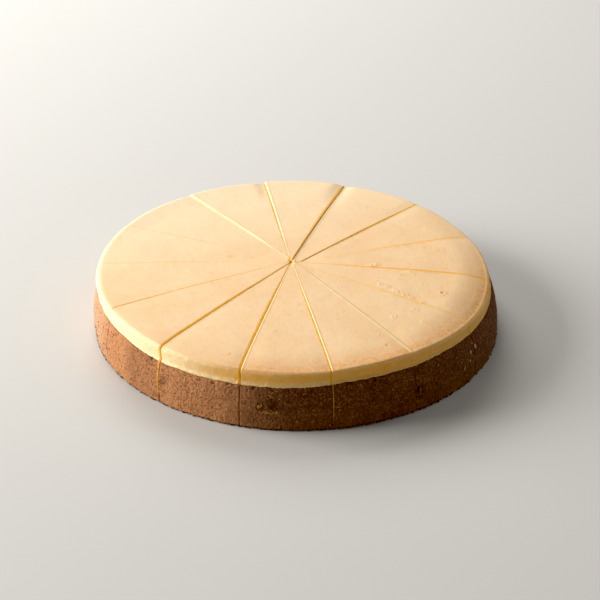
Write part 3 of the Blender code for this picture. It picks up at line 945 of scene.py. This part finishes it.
def sides_of(index, from_first, from_last, narrow):
    """How a slice looks at its two cuts, with every vertex's distance from each."""
    first, last = SEAMS[index], SEAMS[(index + 1) % SLICES]
    return (
        Side(from_first, first.groove_after * narrow, first.depth, first.gold_after, first.pale_after,
             first.roll_after, first.roll_depth),
        Side(from_last, last.groove_before * narrow, last.depth, last.gold_before, last.pale_before,
             last.roll_before, last.roll_depth),
    )


def dropped(sides, narrow, uneven):
    """How far the top drops towards both cuts: a groove, and an edge that rolls over."""
    drop = np.zeros(len(narrow))
    for side in sides:
        inside = np.clip(1.0 - side.distance / side.groove, 0.0, 1.0) ** GROOVE_POWER
        drop += side.depth * max(side.gold, FAINTEST_GROOVE) * inside * uneven * narrow
        drop += side.roll_depth * narrow * rolled(side.distance, side.roll)
    return drop


def bared(sides, narrow):
    """Where the torn skin leaves a pale strip beside a cut."""
    strips = [
        (side.pale > 0.0) * (1.0 - ease(side.distance - side.groove, 0.5 * side.pale, side.pale + 0.05))
        for side in sides
    ]
    return np.maximum(*strips) * narrow


def painted_groove_shade(sides, on_top, uneven):
    """Where a groove shows painted shade in gold: on top at every cut, and down the band only at the cuts that
    gape.
    """
    walls = [
        side.gold * (1.0 - ease(side.distance, 0.75 * side.groove, 1.25 * side.groove))
        * np.where(on_top, 1.0, ease(side.depth, SHUT_DEPTH, OPEN_DEPTH))
        for side in sides
    ]
    return np.clip(np.maximum(*walls) * uneven, 0.0, 1.0)


print("widest groove, mm:", max(seam.groove_before for seam in SEAMS))

# %% Fit the filling between its cuts
WAVE, WAVE_CELLS = 0.22, 45.0
DIMPLE, DIMPLE_CELLS = 0.06, 150.0
UNEVENNESS, UNEVEN_CELLS = 0.3, 260.0
SIDE_WAVE, SIDE_WAVE_CELLS = 0.35, 60.0
SIDE_CRUMB, SIDE_CRUMB_CELLS = 0.16, 420.0
CORNER_SIZE, CORNER_DEPTH = 0.7, 0.4
HEADROOM = 0.02


def level_noise(place, height, cells):
    """Smooth noise at places in plan and heights, with that many cells a metre."""
    return grain(in_metres(place, height), cells)


def filling_slice(index):
    """The filling of one slice."""
    def section_of(azimuth):
        return by_rows(FILLING_ROWS, filling_row, filling_zone, azimuth)[:2]

    fitted = plan_places(index, section_of, filling_column, FILLING_COLUMNS)
    place, azimuth, from_first, from_last, out = fitted
    radius, height, zones, shares = by_rows(FILLING_ROWS, filling_row, filling_zone, azimuth)
    level = np.zeros(len(place))
    on_top, on_shoulder, on_band = zones == "top", zones == "shoulder", zones == "band"
    outer = on_top | on_shoulder
    height = settled(height, place, index)

    narrow = NARROWEST + (1.0 - NARROWEST) * ease(out, NARROW_FROM, NARROW_TO)
    uneven = 1.0 + UNEVENNESS * level_noise(place, level, UNEVEN_CELLS)
    sides = sides_of(index, from_first, from_last, narrow)
    lift, spots = marked(place)
    tip_deep, tip_shade_gold, tip_pale = torn_tips(place)
    waves = WAVE * level_noise(place, height, WAVE_CELLS) + DIMPLE * level_noise(place, level, DIMPLE_CELLS)
    height += np.where(outer, waves - tip_deep - dropped(sides, narrow, uneven), 0.0)
    height += np.where(on_top, lift, 0.0)
    height = np.minimum(height, solid_box[1][2] / MM - HEADROOM)

    side_noise = SIDE_WAVE * level_noise(place, height, SIDE_WAVE_CELLS)
    side_noise += SIDE_CRUMB * level_noise(place, height, SIDE_CRUMB_CELLS)
    corner = CORNER_DEPTH * (rolled(from_first, CORNER_SIZE) + rolled(from_last, CORNER_SIZE))
    free = np.select([on_shoulder, on_band], [shares, 1.0 - 0.5 * shares], 0.0)
    place = place + outwards(place, height) * ((side_noise - corner) * free)[:, None]

    # From the front round to the right the shoulder's pale line is a painted highlight; elsewhere it is worn
    # skin.
    painted_rim_highlight = fades(azimuth, RIM_HIGHLIGHT)
    broad = np.maximum(ease(level_at(azimuth, SHOULDER_WIDTH), 2.4, 4.4), painted_rim_highlight)
    worn_and_highlight = np.where(on_shoulder, ease(shares, 0.45 - 0.4 * broad, 0.95 - 0.35 * broad), 0.0)
    uncovered = np.maximum(np.maximum(bared(sides, narrow), worn_and_highlight), tip_pale)
    shoulder_warm_shade = SHOULDER_WARM_SHADE * (1.0 - 0.15 * painted_rim_highlight)
    warm_shades = [warm_shade_on_band(azimuth, shares), STRIP_WARM_SHADE, shoulder_warm_shade]
    warm_shade = np.select([on_band, on_top, on_shoulder], warm_shades, 0.0)
    values = {
        "skin": np.where(outer, 1.0 - uncovered, 0.0),
        "warm_shade": fades(azimuth, SHADED_BAND) * warm_shade,
        "browned": np.where(outer, np.maximum(spots, rim_browning(azimuth, radius)), 0.0),
        "groove": np.maximum(painted_groove_shade(sides, on_top, uneven), np.where(on_top, tip_shade_gold, 0.0)),
    }
    points = in_metres(place, height)
    return new_piece(filling_blank, f"filling_slice_{index + 1:02d}", points, values, filling_material)


filling_slices = [filling_slice(index) for index in range(SLICES)]
print("filling slices:", len(filling_slices))

# %% [markdown]
# ## The crust of each slice
#
# The crust is a cup of pressed crumb: a base, a side wall and an uneven crest. It is spun like the filling,
# but its outside has many more rows, because the crumbs are real relief and not only a picture of one. Pits
# and crags are pushed in, and two displacement modifiers with cloud and cell textures raise the grains. Its
# foot is ragged and a little undercut, so a thin shadow runs under it, and the undercut is painted dark as
# painted shade. Where a grain sank or a crag is deep, painted shade darkens it too.

# %% Rows of the crust's section
SIDE_ROWS = 76
CRUST_COLUMNS = 160
CRUST_ROWS = (
    [("floor", 0.0), ("floor", 1.0)]
    + [("wall", share) for share in (0.0, 1.0)]
    + [("crest", share) for share in np.linspace(0.0, 1.0, 8)[1:]]
    + [("side", share) for share in np.linspace(0.0, 1.0, SIDE_ROWS + 1)[1:]]
    + [("undercut", share) for share in (0.35, 0.7, 1.0)]
    + [("base", 0.0), ("base", 1.0)]
)
FOOT_RADIUS = 127.1
FOOT_EDGE = 1.25
UNDERCUT = 1.9
CREST_DROP, CREST_ARCH = 0.9, 0.7


def outside_radius(height):
    """The crust's outer radius at a height: straight up from the foot, then drawn in towards its rim."""
    share = np.clip((height - WIDEST_HEIGHT) / (CRUST_LINE - WIDEST_HEIGHT), 0.0, 1.0)
    return WIDEST_RADIUS - (WIDEST_RADIUS - CRUST_LINE_RADIUS) * share ** 1.6 + 0.1 * ease(height, 6.0, 0.0)


def foot_edge(azimuth):
    """How high the ragged lower edge of the side lies above the floor."""
    return FOOT_EDGE + np.interp(azimuth % 360.0, CRUST_LINE_STEPS, FOOT_EDGE_RAGS)


def crust_zone(zone, share, azimuth):
    """Radius and height of one zone of the crust's section at azimuths."""
    inset = drawn_in(azimuth)
    inner_foot = CRUST_LINE_RADIUS - CRUST_WALL - CUP_TAPER
    inner_top = CRUST_LINE_RADIUS - CRUST_WALL
    rise = crust_line(azimuth) - CRUST_LINE
    if zone == "floor":
        return (inner_foot - 2.0) * share, np.full_like(azimuth, CRUST_BASE)
    if zone == "wall":
        top = CRUST_LINE - CREST_DROP + rise
        return inner_foot + (CUP_TAPER - inset) * share, CRUST_BASE + 2.2 + (top - CRUST_BASE - 2.2) * share
    if zone == "crest":
        arch = CRUST_LINE - CREST_DROP + CREST_ARCH * np.sin(math.pi * share) + 0.5 * share
        return inner_top - inset + CRUST_WALL * share, arch + rise
    edge = foot_edge(azimuth)
    if zone == "side":
        height = CRUST_LINE - 0.4 + (edge - CRUST_LINE + 0.4) * share
        radius = outside_radius(height) - inset * ease(height, 6.0, CRUST_LINE - 0.4)
        return radius, height + rise * ease(height, CRUST_BASE, CRUST_LINE - CREST_DROP)
    if zone == "undercut":
        return FOOT_RADIUS - UNDERCUT * share, edge * (1.0 - 0.25 * share)
    return (FOOT_RADIUS - UNDERCUT - 0.2) * (1.0 - share), 0.0 * azimuth


foot_ring = ring + np.array((0.0, 0.0, 3.0))
FOOT_EDGE_RAGS = 0.35 * grain(foot_ring, 60.0) + 0.25 * grain(foot_ring, 26.0)
crust_outline = section_outline(CRUST_ROWS, crust_zone, 1.0)
crust_blank = blank_slice("crust_blank", crust_outline, CRUST_COLUMNS)
crust_row, crust_column = rows_and_columns(crust_blank, crust_outline, CRUST_COLUMNS)
print("crust blank, vertices:", len(crust_blank.data.vertices))

# %% Pits, crags and grains
# Azimuth, height, width and depth of the holes and crags that stand out.
CRAGS = (
    (-97.0, 16.5, 4.5, 1.0), (-100.5, 14.5, 2.2, 1.0), (-97.6, 22.5, 1.2, 0.5), (-102.1, 26.2, 1.2, 0.8),
    (-108.8, 26.5, 1.0, 0.8), (-126.8, 27.6, 1.2, 0.9), (-133.1, 26.6, 1.4, 1.1), (-57.4, 26.5, 1.1, 0.8),
    (-86.9, 25.4, 1.1, 0.7), (-57.2, 14.5, 1.8, 1.5), (-57.0, 10.0, 2.4, 0.8), (-128.0, 17.0, 2.6, 0.6),
    (-113.0, 25.0, 0.9, 0.6), (-93.0, 26.0, 0.9, 0.6), (-70.0, 26.8, 1.0, 0.7), (-50.0, 25.5, 1.0, 0.6),
)
CLOUD_GRAIN, CLOUD_RELIEF = 0.0011, 0.00042
CELL_GRAIN, CELL_RELIEF = 0.0015, 0.00030
# How much painted light and sheen the crust has, at these many degrees from the place on its left that
# faces the window most.
BRIGHTEST_AT = 185.0
LIT_REACH = (0.0, 14.0, 24.0, 34.0, 44.0, 58.0, 90.0)
LIGHT_SHARES = (0.95, 0.82, 0.56, 0.27, 0.31, 0.44, 0.0)


def crag_depth(azimuth, height):
    """How deep the named holes are at places on the side."""
    depth = np.zeros(len(azimuth))
    for at, level, width, deep in CRAGS:
        sideways = np.radians((azimuth - at + 180.0) % 360.0 - 180.0) * WIDEST_RADIUS
        depth += deep * np.exp(-(sideways ** 2 + (height - level) ** 2) / width ** 2)
    return depth


print("holes and crags:", len(CRAGS))


# %% Raise the grains
def grain_texture(name, kind, size):
    """A procedural texture for the displacement, with grains of this size in metres."""
    texture = bpy.data.textures.new(name, kind)
    texture.noise_scale = size
    return texture


cloud_texture = grain_texture("fine_crumb", "CLOUDS", CLOUD_GRAIN)
cloud_texture.noise_depth = 3
cell_texture = grain_texture("crumb_cells", "VORONOI", CELL_GRAIN)


def raise_grains(piece, weight):
    """Moves the outside of a crust in and out along its normals and keeps how deep each vertex went."""
    group = piece.vertex_groups.new(name="outside")
    for level in np.unique(np.round(weight, 2)):
        chosen = np.flatnonzero(np.round(weight, 2) == level).tolist()
        group.add(chosen, float(level), "REPLACE")
    before = points_of(piece.data)
    bpy.context.view_layer.objects.active = piece
    for texture, strength in ((cloud_texture, CLOUD_RELIEF), (cell_texture, -CELL_RELIEF)):
        relief = piece.modifiers.new(texture.name, "DISPLACE")
        relief.texture = texture
        relief.texture_coords = "LOCAL"
        relief.strength = strength
        relief.mid_level = 0.5
        relief.vertex_group = "outside"
        bpy.ops.object.modifier_apply(modifier=relief.name)
    piece.vertex_groups.clear()
    after = points_of(piece.data)
    outward = before[:, :2] / np.maximum(np.linalg.norm(before[:, :2], axis=1), MM)[:, None]
    return ((after - before)[:, :2] * outward).sum(1) / MM


print("grains, mm:", CLOUD_GRAIN / MM, "and", CELL_GRAIN / MM)

# %% Fit the crust between its cuts
# Where the knife dragged filling down the crust: the slice, whether beside its last cut, how strong, the
# distances from the cut and the heights between which it fades.
SMEARS = (
    (9, False, 0.90, 0.8, 2.2, 5.0, 9.0),
    (6, True, 0.70, 0.2, 0.9, 2.0, 12.0),
    (8, True, 0.35, 0.1, 0.8, -2.0, -1.0),
)
WIDEST_NOTCH, NOTCH_DEPTH = 0.75, 1.6
COARSE, COARSE_CELLS = 0.35, 90.0
FINE, FINE_CELLS = 0.10, 260.0
# How much painted shade a pit gets: a little everywhere, more where grains sank and in crags.
PIT_SHADE_BASE, PIT_SHADE_SLOPE, PIT_SHADE_IN_CRAGS = 0.2, 2.2, 0.7


def smeared(index, from_first, from_last, height):
    """How much filling the knife left on the outside of a crust."""
    smear = np.zeros(len(height))
    for slice_index, at_last, strength, near, sheen_towards_back, low, high in SMEARS:
        if slice_index == index:
            distance = from_last if at_last else from_first
            smear = strength * (1.0 - ease(distance, near, sheen_towards_back)) * ease(height, low, high)
    return smear


def notched(distance, groove):
    """How far the crust's corner has crumbled away at a cut."""
    notch = min(groove + 0.1, WIDEST_NOTCH)
    return NOTCH_DEPTH * notch * rolled(distance, notch)


def crust_slice(index):
    """The crust of one slice."""
    def section_of(azimuth):
        return by_rows(CRUST_ROWS, crust_row, crust_zone, azimuth)[:2]

    fitted = plan_places(index, section_of, crust_column, CRUST_COLUMNS)
    place, azimuth, from_first, from_last, _ = fitted
    _, height, zones, shares = by_rows(CRUST_ROWS, crust_row, crust_zone, azimuth)
    on_side, on_undercut, on_crest = zones == "side", zones == "undercut", zones == "crest"
    outer = on_side | on_undercut | on_crest
    height = settled(height, place, index)
    points = in_metres(place, height)
    coarse = COARSE * grain(points, COARSE_CELLS) + FINE * grain(points, FINE_CELLS)
    corner = notched(from_first, SEAMS[index].groove_after)
    corner += notched(from_last, SEAMS[(index + 1) % SLICES].groove_before)
    holes = crag_depth(azimuth, height)
    free = np.select([on_side, on_undercut], [1.0 - 0.6 * ease(height, 4.0, 0.5), 0.4], 0.0)
    push = (coarse - corner - holes) * free
    points = in_metres(place + outwards(place, height) * push[:, None], height)
    values = {
        "smear": smeared(index, from_first, from_last, height) * outer,
        "painted_light": np.interp(np.abs((azimuth % 360.0) - BRIGHTEST_AT), LIT_REACH, LIGHT_SHARES),
    }
    piece = new_piece(crust_blank, f"crust_slice_{index + 1:02d}", points, values, crust_material)
    weight = np.where(on_side, 1.0, np.where(on_crest, 0.35 * (shares > 0.7), 0.0))
    weight = np.where(on_side & (height < 2.0), 0.6, weight)
    sunk = raise_grains(piece, weight)
    # Painted shade: darker where a grain sank and where a crag is deep, and dark all over in the undercut.
    pit_shade = np.clip(PIT_SHADE_BASE - PIT_SHADE_SLOPE * sunk + PIT_SHADE_IN_CRAGS * holes, 0.0, 1.0) * outer
    pit_shade = np.where(on_undercut, 1.0, pit_shade)
    kept = np.clip(points_of(piece.data), np.array(solid_box[0]), np.array(solid_box[1]))
    piece.data.vertices.foreach_set("co", kept.ravel())
    layer = piece.data.attributes.new("pit_shade", "FLOAT", "POINT")
    layer.data.foreach_set("value", pit_shade.astype(np.float32))
    return piece


crust_slices = [crust_slice(index) for index in range(SLICES)]
print("crust slices:", len(crust_slices))

# %% [markdown]
# ## Loose crumbs and pale flakes
#
# Crumbs cling to the side, and a darker fringe of them has gathered in the gap under the foot: real crumbs,
# whose dark is partly painted shade under the foot. One small ball with twenty faces is made rough, and
# copied by array sums into one joined mesh. A few pale flakes of filling are smeared on the right of the
# crust, where the knife came out: they are the same ball, larger and flatter.

# %% Scatter the crumbs
CRUMB_SEED = 14
BOX_SHARE = 0.998


def small_ball():
    """The vertices and faces of a ball with twenty faces and a radius of 1."""
    deselect_all()
    bpy.ops.mesh.primitive_ico_sphere_add(subdivisions=1, radius=1.0)
    ball = bpy.context.object
    corners = points_of(ball.data)
    faces = np.array([list(polygon.vertices) for polygon in ball.data.polygons])
    bpy.data.objects.remove(ball, do_unlink=True)
    return corners, faces


def side_place(azimuth, height, out):
    """A place on the crust's side, in millimetres, that far outside its surface."""
    radius = outside_radius(height) - drawn_in(np.array([azimuth]))[0] * ease(height, 6.0, CRUST_LINE) + out
    turn = math.radians(azimuth)
    return np.array((radius * math.cos(turn) + lean_at(height), radius * math.sin(turn), height))


def joined_balls(name, rows, material, seed):
    """One mesh of rough small balls. A row is a place, three sizes along out, around and up, and a tone."""
    corners, faces = BALL
    rng = np.random.default_rng(seed)
    points, loops, tones = [], [], []
    for number, (place, sizes, tone) in enumerate(rows):
        rough = corners * rng.uniform(0.7, 1.25, (len(corners), 1))
        spin = rng.uniform(0.0, math.tau)
        spun = rough @ np.array(Matrix.Rotation(spin, 3, (0.3, 0.5, 0.8)))
        turn = np.array(Matrix.Rotation(math.atan2(place[1], place[0]), 3, "Z"))
        points.append(place + (spun * np.array(sizes)) @ turn.T)
        loops.append(faces + number * len(corners))
        tones.append(np.full(len(corners), tone))
    points = np.concatenate(points) * MM
    points = np.clip(points, np.array(solid_box[0]) * BOX_SHARE, np.array(solid_box[1]) * BOX_SHARE)
    mesh = bpy.data.meshes.new(name)
    mesh.from_pydata(points.tolist(), [], np.concatenate(loops).tolist())
    piece = bpy.data.objects.new(name, mesh)
    bpy.context.scene.collection.objects.link(piece)
    layer = mesh.attributes.new("tone", "FLOAT", "POINT")
    layer.data.foreach_set("value", np.concatenate(tones).astype(np.float32))
    mesh.materials.append(material)
    return piece


print("a place on the front of the side, mm:", np.round(side_place(-90.0, WIDEST_HEIGHT, 0.0), 1))

# %% Rows of crumbs
SIDE_CRUMBS, FOOT_CRUMBS = 2600, 1900
# Azimuth, height, half width, half height in millimetres, count and tone of each patch of loose crumbs.
CRUMB_PATCHES = (
    (-98.5, 12.0, 6.0, 1.3, 46, 0.95), (-101.0, 15.5, 2.6, 1.4, 16, 0.90), (-97.8, 23.0, 2.0, 2.4, 16, 0.95),
    (-96.3, 12.4, 1.4, 0.9, 16, 1.00), (-57.0, 12.0, 1.6, 4.0, 24, 0.55), (-129.0, 13.0, 3.0, 5.0, 18, 0.80),
    (-80.2, 14.0, 0.7, 8.0, 20, 0.80), (-105.0, 8.0, 4.0, 4.0, 16, 0.70), (-72.0, 22.0, 6.0, 3.0, 16, 0.60),
)


def crumb_rows():
    """Small crumbs all over the side, and a denser, darker fringe under the foot, partly painted shade."""
    rng = random.Random(CRUMB_SEED)
    rows = []
    for _ in range(SIDE_CRUMBS):
        height = 1.0 + 26.0 * rng.random() ** 1.2
        size = 0.16 + 0.3 * rng.random() ** 2.5
        place = side_place(rng.uniform(-180.0, 180.0), height, 0.1)
        rows.append((place, (size, size, size), rng.random() ** 1.3))
    for azimuth, height, half_width, half_height, count, tone in CRUMB_PATCHES:
        for _ in range(count):
            at = azimuth + math.degrees(rng.gauss(0.0, 0.5) * half_width / WIDEST_RADIUS)
            size = 0.2 + 0.34 * rng.random() ** 2.0
            place = side_place(at, height + rng.gauss(0.0, 0.5) * half_height, 0.05)
            rows.append((place, (size, size, size), tone * rng.uniform(0.7, 1.0)))
    for _ in range(FOOT_CRUMBS):
        size = 0.22 + 0.42 * rng.random() ** 2.0
        place = side_place(rng.uniform(-180.0, 180.0), 0.7 * size, rng.uniform(-1.7, 0.1))
        # The fringe's darker tone is partly painted shade under the foot.
        rows.append((place, (size, size, 0.8 * size), 0.75 * rng.random() ** 1.4))
    return rows


print("patches of crumbs:", len(CRUMB_PATCHES))

# %% Rows of flakes
FLAKE_BITS = 5
FLAKE_THICKNESS = 0.35
FLAKE_SPREAD = 2.2
# Azimuth in degrees, then the height on the side, the width and the height of the flake in millimetres.
FLAKES = (
    (-33.2, 19.5, 1.0, 1.9), (-36.0, 18.9, 0.8, 1.3), (-36.9, 14.0, 1.2, 1.0), (-39.7, 11.6, 0.8, 1.5),
    (-39.0, 5.7, 0.5, 0.5), (-34.6, 23.0, 0.6, 0.4), (-50.0, 23.7, 0.5, 0.6), (-37.9, 16.2, 0.4, 0.4),
    (-109.4, 10.9, 0.5, 0.5), (-124.6, 15.2, 0.35, 0.3), (-119.0, 20.0, 0.3, 0.3), (-64.0, 12.0, 0.3, 0.3),
)


def flake_rows():
    """Each flake is a few flat bits that overlap."""
    rng = random.Random(CRUMB_SEED + 1)
    rows = []
    for azimuth, height, width, tall in FLAKES:
        for _ in range(FLAKE_BITS):
            along_side = azimuth + rng.uniform(-0.35, 0.35) * width / FLAKE_SPREAD
            place = side_place(along_side, height + rng.uniform(-0.5, 0.5) * tall, 0.05)
            sizes = (FLAKE_THICKNESS, width * rng.uniform(0.3, 0.7), tall * rng.uniform(0.4, 0.8))
            rows.append((place, sizes, rng.random()))
    return rows


print("flakes:", len(FLAKES))

# %% Make the crumbs and the flakes
CRUMB_DARK = rgb(0.10, 0.038, 0.014)
CRUMB_PALE = rgb(0.60, 0.29, 0.09)
FLAKE_PALE = rgb(0.86, 0.68, 0.40)


def toned_finish(name, low, high):
    """A finish for small bits, each with its own tone."""
    material, shader, start = new_finish(name, 0.8, 0.25)
    place = start.node("ShaderNodeTexCoord", None, None, "Object")
    tone = start.painted("tone")
    colour = start.mixed(tone.eased(0.0, 1.0), low, high)
    feed(shader, "Base Color", colour)
    rough = start.noise(place, 2400.0)
    bump = start.node("ShaderNodeBump", None, {"Strength": 0.5, "Distance": 0.0003, "Height": rough})
    feed(shader, "Normal", bump)
    return material


BALL = small_ball()
crumbs = joined_balls("crust_crumbs", crumb_rows(), toned_finish("loose_crumb", CRUMB_DARK, CRUMB_PALE), 3)
flakes = joined_balls("filling_flakes", flake_rows(), toned_finish("pale_flake", CRUMB_PALE, FLAKE_PALE), 4)
print("crumbs:", len(crumbs.data.vertices) // len(BALL[0]), "flakes:", len(FLAKES))

# %% [markdown]
# ## Tidy the workbench
#
# A blank is a mould: once every slice has its own copy, it is thrown away. The slices are shaded smooth, as
# their vertices lie closer together than the eye can part them. The crumbs keep their flat faces.

# %% Smooth shading, and put the blanks away
for blank in (filling_blank, crust_blank):
    bpy.data.objects.remove(blank, do_unlink=True)
deselect_all()
for piece in filling_slices + crust_slices:
    piece.select_set(True)
bpy.context.view_layer.objects.active = filling_slices[0]
bpy.ops.object.shade_smooth()
deselect_all()
print("smooth slices:", len(filling_slices + crust_slices))

# %% [markdown]
# ## Put every piece on its body
#
# Each new slice stands for the imported solid of the same number. All of them ride on the one body, because
# nothing on a cake moves.

# %% Ride and replace
for index in range(SLICES):
    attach(filling_slices[index], "root")
    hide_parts(f"filling_{index + 1:02d}")
    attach(crust_slices[index], "root")
    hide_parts(f"crust_{index + 1:02d}")

for piece, slot in ((crumbs, "crumb_crust"), (flakes, "baked_filling")):
    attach(piece, "root")
